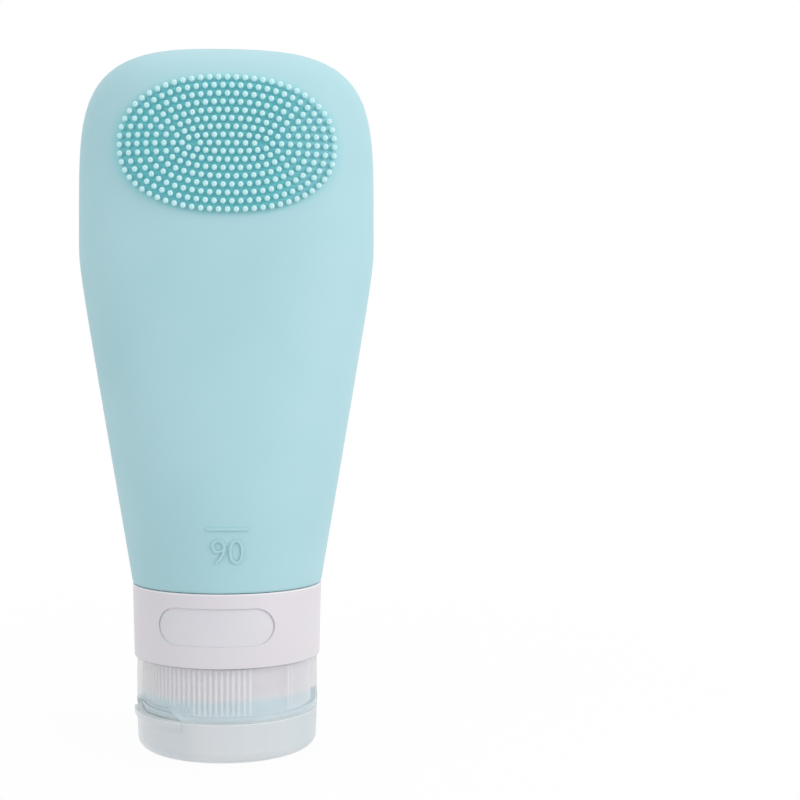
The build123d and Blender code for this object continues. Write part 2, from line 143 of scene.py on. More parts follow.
class Bench:
    """Adds primitives, shapes them in edit mode and hands finished pieces to the frame."""

    @staticmethod
    def clear() -> None:
        """Leave object mode with nothing selected."""
        if bpy.context.mode != "OBJECT":
            bpy.ops.object.mode_set(mode="OBJECT")
        bpy.ops.object.select_all(action="DESELECT")

    @staticmethod
    def pick(piece: bpy.types.Object) -> None:
        """Select one piece alone and make it the active one."""
        Bench.clear()
        piece.select_set(True)
        bpy.context.view_layer.objects.active = piece

    @staticmethod
    def unpicked(kind: str) -> None:
        """Deselect all of the active piece's mesh, and choose whether faces or edges are picked next."""
        bpy.ops.object.mode_set(mode="EDIT")
        bpy.ops.mesh.select_mode(type=kind)
        bpy.ops.mesh.select_all(action="DESELECT")
        bpy.ops.object.mode_set(mode="OBJECT")

    @staticmethod
    def named(name: str) -> bpy.types.Object:
        """Name the piece that was just added, and its mesh."""
        piece = bpy.context.object
        piece.name = name
        piece.data.name = name
        return piece

    @staticmethod
    def tidied(piece: bpy.types.Object, gap: float = 1e-6) -> bpy.types.Object:
        """Merge the piece's doubles and turn its faces outwards.

        Args:
            piece: Piece to mend.
            gap: Largest distance between two points that become one, in metres.

        Returns:
            The same piece.
        """
        Bench.pick(piece)
        bpy.ops.object.mode_set(mode="EDIT")
        bpy.ops.mesh.select_all(action="SELECT")
        bpy.ops.mesh.remove_doubles(threshold=gap)
        bpy.ops.mesh.normals_make_consistent(inside=False)
        bpy.ops.object.mode_set(mode="OBJECT")
        return piece

    @staticmethod
    def wrapped(name: str, columns: int, rows: int, place: Callable[[int, int], Place]) -> bpy.types.Object:
        """Wrap the net of a ball onto a form, ring by ring.

        Args:
            name: Name of the piece.
            columns: Points in each ring.
            rows: Rings from the first pole to the last.
            place: Gives the place of a point from its row and column.

        Returns:
            The wrapped piece, closed at both poles.
        """
        Bench.clear()
        bpy.ops.mesh.primitive_uv_sphere_add(segments=columns, ring_count=rows, radius=1)
        piece = Bench.named(name)
        for vertex in piece.data.vertices:
            x, y, z = vertex.co
            row = round(acos(max(-1.0, min(1.0, z))) / pi * rows)
            column = round(atan2(y, x) / (2 * pi) * columns) % columns
            vertex.co = Vector(place(row, column)) * MM
        return piece

    @staticmethod
    def spun(name: str, outline: Sequence[Corner], steps: int = 160) -> bpy.types.Object:
        """Spin an outline about the bottle's axis.

        Args:
            name: Name of the piece.
            outline: Corners as radius and height. It closes on itself, or on the axis.
            steps: Steps in a whole turn.

        Returns:
            The spun piece, closed and facing outwards.
        """
        Bench.clear()
        bpy.ops.mesh.primitive_circle_add(vertices=len(outline), radius=1)
        piece = Bench.named(name)
        for vertex, (radius, height) in zip(piece.data.vertices, outline):
            vertex.co = Vector((radius, 0, height)) * MM
        if outline[0][0] == outline[-1][0] == 0:
            ends = {0, len(outline) - 1}
            Bench.unpicked("EDGE")
            for edge in piece.data.edges:
                edge.select = set(edge.vertices) == ends
            bpy.ops.object.mode_set(mode="EDIT")
            bpy.ops.mesh.delete(type="EDGE_FACE")
            bpy.ops.mesh.select_mode(type="VERT")
        else:
            bpy.ops.object.mode_set(mode="EDIT")
        bpy.ops.mesh.select_all(action="SELECT")
        bpy.ops.mesh.spin(steps=steps, angle=2 * pi, center=(0, 0, 0), axis=(0, 0, 1))
        return Bench.tidied(piece)

    @staticmethod
    def joined(piece: bpy.types.Object, other: bpy.types.Object) -> None:
        """Join another piece into a piece, which keeps its name."""
        Bench.pick(piece)
        other.select_set(True)
        bpy.ops.object.join()

    @staticmethod
    def repeated(name: str, pattern: bpy.types.Object, turns: Sequence[Matrix]) -> bpy.types.Object:
        """Copy a pattern piece to many places and join the copies.

        Args:
            name: Name of the joined piece.
            pattern: Piece to copy, which is used up.
            turns: Where each copy goes, in metres.

        Returns:
            The joined piece.
        """
        Bench.clear()
        for turn in turns:
            mesh = pattern.data.copy()
            mesh.transform(turn)
            copy = bpy.data.objects.new(name, mesh)
            bpy.context.scene.collection.objects.link(copy)
            copy.select_set(True)
            bpy.context.view_layer.objects.active = copy
        bpy.data.objects.remove(pattern)
        bpy.ops.object.join()
        return Bench.named(name)

    @staticmethod
    def dressed(
        piece: bpy.types.Object,
        material: bpy.types.Material,
        slot: Slot,
        body: Body | None,
        angle: float = 35,
    ) -> bpy.types.Object:
        """Smooth and paint a finished piece, and let it ride on its body.

        Args:
            piece: Finished piece, with its place in its mesh.
            material: Finish that it gets.
            slot: Slot of the record that the finish belongs to. Not used.
            body: Body that it rides on, or None to leave it on no body.
            angle: Edges that turn by more than this many degrees stay sharp.

        Returns:
            The same piece.
        """
        Bench.pick(piece)
        bpy.ops.object.shade_smooth_by_angle(angle=radians(angle))
        piece.data.materials.clear()
        piece.data.materials.append(material)
        if body is not None:
            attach(piece, body.value)
        LOG.info("%s has %d faces", piece.name, len(piece.data.polygons))
        return piece


class Weaver:
    """Adds and joins the nodes of one shader tree."""

    def __init__(self, tree: bpy.types.NodeTree) -> None:
        """Start with an empty tree."""
        self.tree = tree
        self.tree.nodes.clear()

    def node(self, kind: str, settings: dict | None = None, **inputs: object) -> bpy.types.Node:
        """Add a node and fill its inputs.

        Args:
            kind: Node type without its Shader prefix.
            settings: Properties of the node itself.
            inputs: Socket names, with underscores for spaces, and a value or a socket for each.

        Returns:
            The new node.
        """
        made = self.tree.nodes.new("ShaderNode" + kind)
        for name, value in (settings or {}).items():
            setattr(made, name, value)
        for name, value in inputs.items():
            key = int(name[1:]) if name[1:].isdigit() and name[0] == "i" else name.replace("_", " ")
            socket = made.inputs[key]
            if isinstance(value, bpy.types.NodeSocket):
                self.tree.links.new(value, socket)
            else:
                socket.default_value = value
        return made

    def maths(self, operation: str, first: object, second: object = 0.0) -> bpy.types.NodeSocket:
        """Work out one sum on two values or sockets."""
        return self.node("Math", {"operation": operation}, i0=first, i1=second).outputs[0]

    def faded(
        self, value: object, start: object, end: object, low: float, high: float
    ) -> bpy.types.NodeSocket:
        """Turn a value's range into another one, with soft ends.

        Args:
            value: Socket to read.
            start: Value or socket that gives the low result.
            end: Value or socket that gives the high result.
            low: Result at the start.
            high: Result at the end.

        Returns:
            The socket with the result.
        """
        settings = {"interpolation_type": "SMOOTHSTEP"}
        return self.node("MapRange", settings, i0=value, i1=start, i2=end, i3=low, i4=high).outputs[0]

    def mixed(self, share: object, first: object, second: object) -> bpy.types.NodeSocket:
        """Blend two colours or sockets of colour by a share."""
        made = self.node("Mix", {"data_type": "RGBA", "clamp_factor": True}, i0=share, i6=first, i7=second)
        return made.outputs[2]

    @classmethod
    def opened(cls, name: str) -> tuple[bpy.types.Material, "Weaver"]:
        """Start a material with an empty tree."""
        material = bpy.data.materials.new(name)
        material.use_nodes = True
        return material, cls(material.node_tree)

    def finished(self, constants: dict[str, object], **inputs: object) -> None:
        """Add the material's shader and join it to the output.

        Args:
            constants: Sockets of the shader that are the same all over, by their names.
            inputs: Sockets that change over the surface, as for a node.
        """
        shader = self.node("BsdfPrincipled", None, **inputs)
        for name, value in constants.items():
            shader.inputs[name].default_value = value
        end = self.node("OutputMaterial")
        self.tree.links.new(shader.outputs[0], end.inputs[0])

    def effect(self, effect: Effect, **inputs: object) -> bpy.types.Node:
        """Place a shared effect with its own values."""
        made = self.tree.nodes.new("ShaderNodeGroup")
        made.node_tree = bpy.data.node_groups[effect.value]
        for name, value in inputs.items():
            made.inputs[name.replace("_", " ")].default_value = value
        return made


class SharedEffects:
    """Builds the shader groups that the finishes share."""

    @staticmethod
    def started(
        effect: Effect, inputs: dict[str, float], outputs: Sequence[str]
    ) -> tuple[Weaver, bpy.types.Node]:
        """Open a new group with named inputs and outputs.

        Args:
            effect: Effect that the group makes.
            inputs: Names of its inputs with their usual values.
            outputs: Names of its outputs.

        Returns:
            The group's weaver and its input node.
        """
        tree = bpy.data.node_groups.new(effect.value, "ShaderNodeTree")
        for name, value in inputs.items():
            socket = tree.interface.new_socket(name, in_out="INPUT", socket_type="NodeSocketFloat")
            socket.default_value = value
        for name in outputs:
            tree.interface.new_socket(name, in_out="OUTPUT", socket_type="NodeSocketFloat")
        weaver = Weaver(tree)
        return weaver, tree.nodes.new("NodeGroupInput")

    @staticmethod
    def finished(weaver: Weaver, results: dict[str, bpy.types.NodeSocket]) -> None:
        """Join the results to the group's outputs."""
        end = weaver.tree.nodes.new("NodeGroupOutput")
        for name, socket in results.items():
            weaver.tree.links.new(socket, end.inputs[name])

    def build(self) -> None:
        """Build every shared effect once."""
        self.grain()
        self.band()
        self.oval()

    def grain(self) -> None:
        """Fine matte skin of a moulding, and the slow change of tone across it."""
        names = {"Grain Scale": 2400.0, "Tone Scale": 40.0}
        weaver, start = self.started(Effect.GRAIN, names, ("Height", "Tone"))
        place = weaver.node("TexCoord").outputs["Object"]
        fine = weaver.node("TexNoise", None, Vector=place, Scale=start.outputs[0], Detail=3.0, Roughness=0.6)
        slow = weaver.node("TexNoise", None, Vector=place, Scale=start.outputs[1], Detail=2.0, Roughness=0.5)
        tone = weaver.faded(slow.outputs[0], 0.3, 0.7, 0.0, 1.0)
        self.finished(weaver, {"Height": fine.outputs[0], "Tone": tone})

    def band(self) -> None:
        """Mask of a thin level band, such as a rim that catches the light."""
        weaver, start = self.started(Effect.BAND, {"Level": 0.0, "Reach": 0.001}, ("Mask",))
        place = weaver.node("TexCoord").outputs["Object"]
        height = weaver.node("SeparateXYZ", None, Vector=place).outputs["Z"]
        away = weaver.maths("ABSOLUTE", weaver.maths("SUBTRACT", height, start.outputs[0]))
        share = weaver.maths("DIVIDE", away, start.outputs[1])
        self.finished(weaver, {"Mask": weaver.faded(share, 0.0, 1.0, 1.0, 0.0)})

    def oval(self) -> None:
        """Mask of a squared oval on one face of the bottle, with a soft edge."""
        names = {"Level": 0.1, "Half Width": 0.018, "Half Height": 0.011,
                 "Inner": 0.9, "Outer": 1.2, "Facing": -1.0}
        weaver, start = self.started(Effect.OVAL, names, ("Mask",))
        level, width, height, inner, outer, facing = start.outputs[:6]
        place = weaver.node("TexCoord").outputs["Object"]
        split = weaver.node("SeparateXYZ", None, Vector=place).outputs
        across = weaver.maths("DIVIDE", weaver.maths("ABSOLUTE", split["X"]), width)
        off = weaver.maths("ABSOLUTE", weaver.maths("SUBTRACT", split["Z"], level))
        along = weaver.maths("DIVIDE", off, height)
        power = SqueezeForm.oval_power
        total = weaver.maths("ADD", weaver.maths("POWER", across, power), weaver.maths("POWER", along, power))
        mask = weaver.faded(total, outer, inner, 0.0, 1.0)
        ahead = weaver.maths("GREATER_THAN", weaver.maths("MULTIPLY", split["Y"], facing), 0.0)
        self.finished(weaver, {"Mask": weaver.maths("MULTIPLY", mask, ahead)})


@dataclass(frozen=True)
class SiliconeFinish:
    """Matte aqua silicone, with painted shade between and round the bristles and a painted highlight on their
    tips.
    """

    name: str
    skin: Colour = (174, 214, 221)
    cool: Colour = (180, 218, 226)
    # painted shade: this deeper teal between and round the bristles stands in for their shade and cast shadow
    gap_shade: Colour = (128, 212, 219)
    # painted highlight on the strand tips, with a darker painted centre on each tip
    tip: Colour = (206, 246, 249)
    tip_highlight_centre: Colour = (172, 208, 214)
    roughness: float = 0.52
    strands: bool = False

    def brush_shade_mask(self, weaver: Weaver) -> bpy.types.NodeSocket:
        """Mask of the painted shade between and round both brushes, softer at their edges and fainter on the
        right, where the light falls.
        """
        front = weaver.effect(Effect.OVAL, Level=0.1094, Half_Width=0.0191, Half_Height=0.01165,
                              Inner=0.8, Outer=1.34, Facing=-1.0)
        back = weaver.effect(Effect.OVAL, Level=0.1125, Half_Width=0.0159, Half_Height=0.0068,
                             Inner=0.8, Outer=1.5, Facing=1.0)
        place = weaver.node("TexCoord").outputs["Object"]
        across = weaver.node("SeparateXYZ", None, Vector=place).outputs["X"]
        # painted light: the front brush's painted shade fades out towards the right, where the light falls
        lit_right_fade = weaver.faded(across, 0.006, 0.0195, 1.0, 0.6)
        front_shade = weaver.maths("MULTIPLY", front.outputs[0], lit_right_fade)
        back_shade = weaver.maths("MULTIPLY", back.outputs[0], 0.7)
        return weaver.maths("MAXIMUM", front_shade, back_shade)

    def build(self) -> bpy.types.Material:
        """Build the material.

        Returns:
            The finished material.
        """
        material, weaver = Weaver.opened(self.name)
        grain = weaver.effect(Effect.GRAIN, Grain_Scale=2600.0, Tone_Scale=34.0)
        colour = weaver.mixed(grain.outputs["Tone"], linear(self.skin), linear(self.cool))
        # painted shade between and round the bristles, laid on by the brush mask
        colour = weaver.mixed(self.brush_shade_mask(weaver), colour, linear(self.gap_shade))
        if self.strands:
            # painted highlight: strands grow paler towards their tips, with a darker centre on each tip
            reach = weaver.node("Attribute", {"attribute_name": "reach"}).outputs["Fac"]
            colour = weaver.mixed(weaver.faded(reach, 0.2, 0.7, 0.0, 1.0), colour, linear(self.tip))
            colour = weaver.mixed(weaver.faded(reach, 1.02, 1.12, 0.0, 1.0), colour, linear(self.tip_highlight_centre))
        bump = weaver.node("Bump", None, Strength=0.12, Distance=0.00008, Height=grain.outputs["Height"])
        rough = weaver.faded(grain.outputs["Height"], 0.3, 0.7, self.roughness - 0.05, self.roughness + 0.06)
        constants = {"IOR": 1.42, "Specular IOR Level": 0.38, "Subsurface Weight": 0.18,
                     "Subsurface Radius": (0.7, 1.0, 1.0), "Subsurface Scale": 0.0022}
        weaver.finished(constants, Base_Color=colour, Roughness=rough, Normal=bump.outputs[0])
        return material


@dataclass(frozen=True)
class WhiteFinish:
    """Satin white moulding with a faint violet cast and a painted highlight band along one rim."""

    name: str
    colour: Colour = (226, 221, 228)
    warm: Colour = (221, 217, 222)
    # painted highlight along the rim at rim_level
    rim: Colour = (250, 250, 252)
    rim_level: float = 30.2
    roughness: float = 0.36
    edge_round: float = 0.22
    grain: float = 0.08

    def build(self) -> bpy.types.Material:
        """Build the material.

        Returns:
            The finished material.
        """
        material, weaver = Weaver.opened(self.name)
        grain = weaver.effect(Effect.GRAIN, Grain_Scale=1900.0, Tone_Scale=30.0)
        colour = weaver.mixed(grain.outputs["Tone"], linear(self.colour), linear(self.warm))
        # painted highlight: a thin band at the rim's level is lightened
        rim = weaver.effect(Effect.BAND, Level=self.rim_level * MM, Reach=0.00035)
        colour = weaver.mixed(rim.outputs[0], colour, linear(self.rim))
        soft = weaver.node("Bevel", {"samples": 6}, Radius=self.edge_round * MM)
        bump = weaver.node("Bump", None, Strength=self.grain, Distance=0.00005,
                           Height=grain.outputs["Height"])
        weaver.tree.links.new(soft.outputs[0], bump.inputs["Normal"])
        rough = weaver.faded(grain.outputs["Height"], 0.3, 0.7, self.roughness - 0.04, self.roughness + 0.05)
        constants = {"IOR": 1.49, "Specular IOR Level": 0.42,
                     "Subsurface Weight": 0.1, "Subsurface Scale": 0.0012}
        weaver.finished(constants, Base_Color=colour, Roughness=rough, Normal=bump.outputs[0])
        return material


@dataclass(frozen=True)
class FrostedFinish:
    """Frosted clear moulding: cloudy, part see-through, with a painted highlight band along one edge."""

    name: str
    colour: Colour = (222, 226, 230)
    cloud: Colour = (204, 215, 220)
    # painted highlight along the edge band at edge_level
    edge: Colour = (246, 251, 252)
    upper: Colour = (228, 224, 230)
    lower: Colour = (202, 222, 229)
    tint: float = 0.0
    tint_level: float = 11.3
    tint_below: float = 0.7
    tint_above: float = 0.5
    front: float = 0.42
    behind: float = 0.38
    passing: float = 0.05
    edge_level: float = 7.275
    edge_reach: float = 0.3
    edge_share: float = 0.85
    roughness: float = 0.34
    sheen: float = 0.35
    deck_level: float = 8.2
    deck_reach: float = 1.6
    deck_share: float = 0.82
    cloud_scale: Place = (90.0, 90.0, 14.0)

    def build(self) -> bpy.types.Material:
        """Build the material.

        Returns:
            The finished material.
        """
        material, weaver = Weaver.opened(self.name)
        grain = weaver.effect(Effect.GRAIN, Grain_Scale=2100.0, Tone_Scale=1.0)
        place = weaver.node("TexCoord").outputs["Object"]
        upright = weaver.node("Mapping", None, Vector=place, Scale=self.cloud_scale).outputs[0]
        clouds = weaver.node("TexNoise", None, Vector=upright, Scale=1.0, Detail=2.0, Roughness=0.45)
        share = weaver.faded(clouds.outputs[0], 0.36, 0.64, 0.0, 1.0)
        colour = weaver.mixed(share, linear(self.colour), linear(self.cloud))
        if self.tint > 0:
            height = weaver.node("SeparateXYZ", None, Vector=place).outputs["Z"]
            above = weaver.faded(height, (self.tint_level - self.tint_below) * MM,
                                 (self.tint_level + self.tint_above) * MM, 0.0, 1.0)
            shown = weaver.mixed(above, linear(self.lower), linear(self.upper))
            colour = weaver.mixed(self.tint, colour, shown)
        # painted highlight: a thin band at edge_level is lightened, and made more opaque by edge_share
        edge = weaver.effect(Effect.BAND, Level=self.edge_level * MM, Reach=self.edge_reach * MM)
        colour = weaver.mixed(edge.outputs[0], colour, linear(self.edge))
        soft = weaver.node("Bevel", {"samples": 6}, Radius=0.0002)
        bump = weaver.node("Bump", None, Strength=0.1, Distance=0.00006, Height=grain.outputs["Height"])
        weaver.tree.links.new(soft.outputs[0], bump.inputs["Normal"])
        rough = weaver.faded(share, 0.0, 1.0, self.roughness - 0.05, self.roughness + 0.1)
        back = weaver.node("NewGeometry").outputs["Backfacing"]
        thick = weaver.faded(share, 0.0, 1.0, self.front * 0.94, self.front * 1.06)
        fuller = weaver.maths("MAXIMUM", thick, weaver.maths("MULTIPLY", edge.outputs[0], self.edge_share))
        deck = weaver.effect(Effect.BAND, Level=self.deck_level * MM, Reach=self.deck_reach * MM)
        fuller = weaver.maths("MAXIMUM", fuller, weaver.maths("MULTIPLY", deck.outputs[0], self.deck_share))
        seen = weaver.node("Mix", None, i0=back, i2=fuller, i3=self.behind).outputs[0]
        light = weaver.node("LightPath").outputs
        unseen = weaver.maths("MAXIMUM", light["Is Shadow Ray"], light["Is Diffuse Ray"])
        alpha = weaver.node("Mix", None, i0=unseen, i2=seen, i3=self.passing).outputs[0]
        constants = {"IOR": 1.49, "Specular IOR Level": 0.6,
                     "Sheen Weight": self.sheen, "Sheen Roughness": 0.5}
        weaver.finished(constants, Base_Color=colour, Roughness=rough, Normal=bump.outputs[0], Alpha=alpha)
        return material


@dataclass(frozen=True)
class ValveFinish:
    """Cloudy clear silicone, with a cross slit drawn through the middle of the membrane."""

    name: str
    colour: Colour = (222, 230, 232)
    cloud: Colour = (212, 222, 226)
    slit: Colour = (96, 112, 116)
    slit_reach: float = 1.7
    slit_width: float = 0.07

    def build(self) -> bpy.types.Material:
        """Build the material.

        Returns:
            The finished material.
        """
        material, weaver = Weaver.opened(self.name)
        grain = weaver.effect(Effect.GRAIN, Grain_Scale=2600.0, Tone_Scale=200.0)
        place = weaver.node("TexCoord").outputs["Object"]
        split = weaver.node("SeparateXYZ", None, Vector=place).outputs
        x = weaver.maths("ABSOLUTE", split["X"])
        y = weaver.maths("ABSOLUTE", split["Y"])
        narrow = weaver.maths("LESS_THAN", weaver.maths("MINIMUM", x, y), self.slit_width * MM)
        short = weaver.maths("LESS_THAN", weaver.maths("MAXIMUM", x, y), self.slit_reach * MM)
        slit = weaver.maths("MULTIPLY", narrow, short)
        tone = weaver.mixed(grain.outputs["Tone"], linear(self.colour), linear(self.cloud))
        colour = weaver.mixed(slit, tone, linear(self.slit))
        bump = weaver.node("Bump", None, Strength=0.1, Distance=0.00005, Height=grain.outputs["Height"])
        constants = {"Roughness": 0.4, "IOR": 1.42, "Subsurface Weight": 0.3, "Subsurface Scale": 0.001}
        weaver.finished(constants, Base_Color=colour, Normal=bump.outputs[0])
        return material


@dataclass
class SqueezeForm:
    """The body's form: round at the shoulder, wide and flat above, rolled over at the crown."""

    base: float = 30.3
    length: float = 99.1
    width: float = 55.0
    depth: float = 30.0
    wall: float = 2.0
    shoulder: float = 17.6
    roll: float = 10.5
    widest: float = 0.628
    bend: float = 0.07
    rise_power: float = 5.1
    side_power: float = 3.0
    round_power: float = 2.0
    squared_power: float = 2.4
    oval_power: float = 2.2

    def half_width(self, share: float, inset: float) -> float:
        """Half the width at a share of the length, drawn in by a wall."""
        full = self.width / 2
        if share > self.widest:
            climb = (share - self.widest) / (1 - self.widest)
            return (full - inset) * max(1 - climb**self.rise_power, 0) ** (1 / self.side_power)
        drop = (self.widest - share) / self.widest
        taper = (hypot(drop, self.bend) - self.bend) / (hypot(1, self.bend) - self.bend)
        return full - (full - self.shoulder) * taper - inset

    def roll_start(self, inset: float) -> float:
        """Share of the length at which the faces start to roll over."""
        return 1 - self.roll / (self.length - inset)

    def half_depth(self, share: float, inset: float) -> float:
        """Half the depth at a share of the length, drawn in by a wall."""
        settled = eased(share / self.widest)
        depth = self.shoulder + (self.depth / 2 - self.shoulder) * settled - inset
        start = self.roll_start(inset)
        over = max(share - start, 0) / (1 - start)
        return depth * sqrt(max(1 - over * over, 0))

    def power(self, share: float) -> float:
        """How squared the section is at a share of the length."""
        return self.round_power + (self.squared_power - self.round_power) * eased(share / self.widest)

    def point(self, share: float, turn: float, inset: float) -> Place:
        """Point of the skin at a share of the length and a turn about the axis.

        Args:
            share: Share of the length, from 0 at the shoulder to 1 at the crown.
            turn: Angle in radians.
            inset: Wall that the form is drawn in by.

        Returns:
            The point in millimetres.
        """
        x, y = squared(turn, self.power(share))
        height = self.base + share * (self.length - inset)
        return (self.half_width(share, inset) * x, self.half_depth(share, inset) * y, height)

    def skin(self, x: float, z: float) -> float:
        """Distance from the axis plane to the skin, at a place on the face."""
        share = (z - self.base) / self.length
        power = self.power(share)
        fullness = 1 - min(abs(x) / self.half_width(share, 0), 1) ** power
        return self.half_depth(share, 0) * fullness ** (1 / power)


@dataclass
class SqueezeSkin:
    """One closed moulding: the body outside and in, its neck, and the lip that seals the mouth."""

    form: SqueezeForm
    columns: int = 168
    straight_steps: int = 44
    crown_degrees: tuple[float, ...] = (
        0.15, 0.4, 0.8, 1.4, 2.2, 3.2, 4.4, 5.8, 7.4, 9.2, 11.4, 14, 17, 20.5, 24.5, 29, 34, 39.5, 45.5, 52,
        59, 66, 73, 80, 86)
    edge_round: float = 0.45
    lip_round: float = 0.6
    lip_radius: float = 14.2
    lip_low: float = 8.4
    lip_high: float = 11.4
    chamfer: float = 0.3
    plug_radius: float = 14.9
    plug_low: float = 18.85
    neck_radius: float = 12.5
    bore: float = 10.7
    throat_radius: float = 12.9
    throat_level: float = 20.85
    flare: float = 3.2

    def shares(self, steps: int, first: float, inset: float) -> list[float]:
        """Shares of the length from the crown down to a first share."""
        start = self.form.roll_start(inset)
        crown = [start + (1 - start) * cos(radians(angle)) for angle in self.crown_degrees]
        straight = [start + (first - start) * step / steps for step in range(steps + 1)]
        return crown + straight

    def neck(self) -> list[Corner]:
        """Outline from the foot of the skin, down the neck, round the lip and back up the bore."""
        low, shoulder, rounding = self.form.base, self.form.shoulder, self.edge_round
        edge = [(shoulder - rounding * (1 - cos(radians(a))), low + rounding * (1 - sin(radians(a))))
                for a in (20, 45, 70, 90)]
        lip = [(self.lip_radius - self.lip_round * (1 - cos(radians(a))),
                self.lip_low + self.lip_round * (1 - sin(radians(a)))) for a in (0, 30, 60, 90)]
        crest = [(self.lip_radius - self.chamfer, self.lip_high),
                 (self.lip_radius, self.lip_high - self.chamfer)]
        down = [(self.plug_radius, low), (self.plug_radius, self.plug_low), (self.neck_radius, self.plug_low),
                (self.neck_radius, self.lip_high)]
        up = [(self.bore + self.chamfer, self.lip_low), (self.bore, self.lip_low + self.chamfer),
              (self.bore, self.plug_low), (self.throat_radius, self.throat_level), (self.throat_radius, low)]
        return edge + down + crest + lip + up

    def build(self, material: bpy.types.Material) -> bpy.types.Object:
        """Model and dress the skin.

        Args:
            material: Finish of the silicone.

        Returns:
            The finished piece.
        """
        outside = self.shares(self.straight_steps, 0.006, 0)
        flare_share = self.flare / (self.form.length - self.form.wall)
        inside = self.shares(self.straight_steps // 2, flare_share, self.form.wall)[::-1]
        neck = self.neck()
        rows = len(outside) + len(neck) + len(inside) + 1

        def place(row: int, column: int) -> Place:
            """Place of a point of the net."""
            turn = 2 * pi * column / self.columns
            index = row - 1
            if row == 0:
                return (0, 0, self.form.base + self.form.length)
            if row == rows:
                return (0, 0, self.form.base + self.form.length - self.form.wall)
            if index < len(outside):
                return self.form.point(outside[index], turn, 0)
            index -= len(outside)
            if index < len(neck):
                radius, height = neck[index]
                return (radius * cos(turn), radius * sin(turn), height)
            return self.form.point(inside[index - len(neck)], turn, self.form.wall)

        piece = Bench.wrapped("squeeze_skin", self.columns, rows, place)
        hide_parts("silicone_body")
        return Bench.dressed(piece, material, Slot.BODY, Body.BOTTLE, 40)


